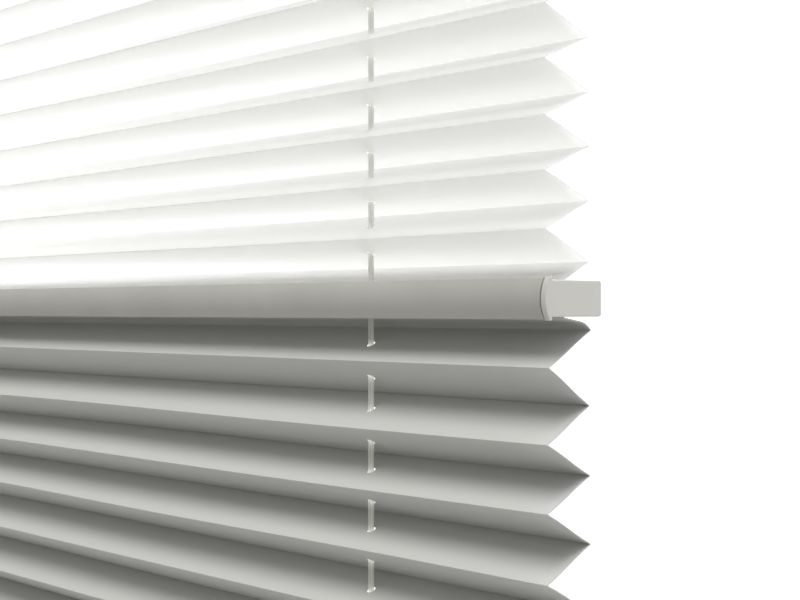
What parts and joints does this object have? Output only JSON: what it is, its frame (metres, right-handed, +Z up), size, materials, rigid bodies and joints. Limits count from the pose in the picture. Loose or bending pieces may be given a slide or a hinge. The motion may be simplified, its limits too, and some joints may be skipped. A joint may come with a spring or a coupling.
{
  "type": "pleated blind",
  "caption": "Day-and-night pleated blind: sheer pleats above and dense grey pleats below a sliding middle rail, on taut cords between a head rail and sill shoes.",
  "frame": {"origin": "midway between the two bracket screws, on the brackets' top face, where the blind is fixed under the window's head", "axes": "+X across the window to the right as seen from the room, -Y into the room, +Z up along the cords"},
  "size_m": [0.7646, 0.0368, 0.8918],
  "materials": {
    "rail_coat": "extruded aluminium with a satin light grey powder coat",
    "cap_plastic": "fine-textured moulded plastic, light warm grey",
    "strip_plastic": "plain extruded strip",
    "guide_plastic": "smooth low-friction moulding",
    "day_cloth": "sheer non-woven, white, lets light through",
    "night_cloth": "dense light grey pleating fabric, matt",
    "cord_braid": "fine braided cord, light grey",
    "spring_steel": "bright zinc",
    "ferrule_brass": "turned brass"
  },
  "bodies": {
    "root": {"head_rail": "rail_coat", "head_rail_cap_left": "cap_plastic", "head_rail_cap_right": "cap_plastic", "mounting_bracket_left": "spring_steel", "mounting_bracket_right": "spring_steel", "head_cord_guide_left": "guide_plastic", "head_cord_guide_right": "guide_plastic", "cord_ferrule_left": "ferrule_brass", "cord_ferrule_right": "ferrule_brass", "tension_spring_left": "spring_steel", "tension_spring_right": "spring_steel", "spring_anchor_left": "guide_plastic", "spring_anchor_right": "guide_plastic", "day_fabric": "day_cloth", "day_fabric_top_strip": "strip_plastic", "middle_rail_cord_left": "cord_braid", "middle_rail_cord_right": "cord_braid", "bottom_rail_cord_left": "cord_braid", "bottom_rail_cord_right": "cord_braid", "tension_shoe_left": "cap_plastic", "tension_shoe_right": "cap_plastic", "cord_stop_left": "guide_plastic", "cord_stop_right": "guide_plastic"},
    "middle": {"middle_rail": "rail_coat", "middle_rail_cap_left": "cap_plastic", "middle_rail_cap_right": "cap_plastic", "middle_rail_handle": "cap_plastic", "day_fabric_bottom_strip": "strip_plastic", "night_fabric_top_strip": "strip_plastic", "middle_cord_guide_left": "guide_plastic", "middle_cord_guide_right": "guide_plastic", "middle_rail_crossing_cord_front": "cord_braid", "middle_rail_crossing_cord_rear": "cord_braid", "night_fabric": "night_cloth"},
    "bottom": {"bottom_rail": "rail_coat", "bottom_rail_cap_left": "cap_plastic", "bottom_rail_cap_right": "cap_plastic", "bottom_rail_handle": "cap_plastic", "night_fabric_bottom_strip": "strip_plastic", "bottom_cord_guide_left": "guide_plastic", "bottom_cord_guide_right": "guide_plastic", "bottom_rail_crossing_cord_front": "cord_braid", "bottom_rail_crossing_cord_rear": "cord_braid"}
  },
  "joints": [
    {"name": "middle_rail_slide", "type": "slide", "parent": "root", "child": "middle", "axis": [0, 0, 1], "range_m": [-0.1, 0.2648], "deforming": ["day_fabric"]},
    {"name": "bottom_rail_slide", "type": "slide", "parent": "middle", "child": "bottom", "axis": [0, 0, 1], "range_m": [-0.1, 0.3334], "deforming": ["night_fabric"]}
  ]
}
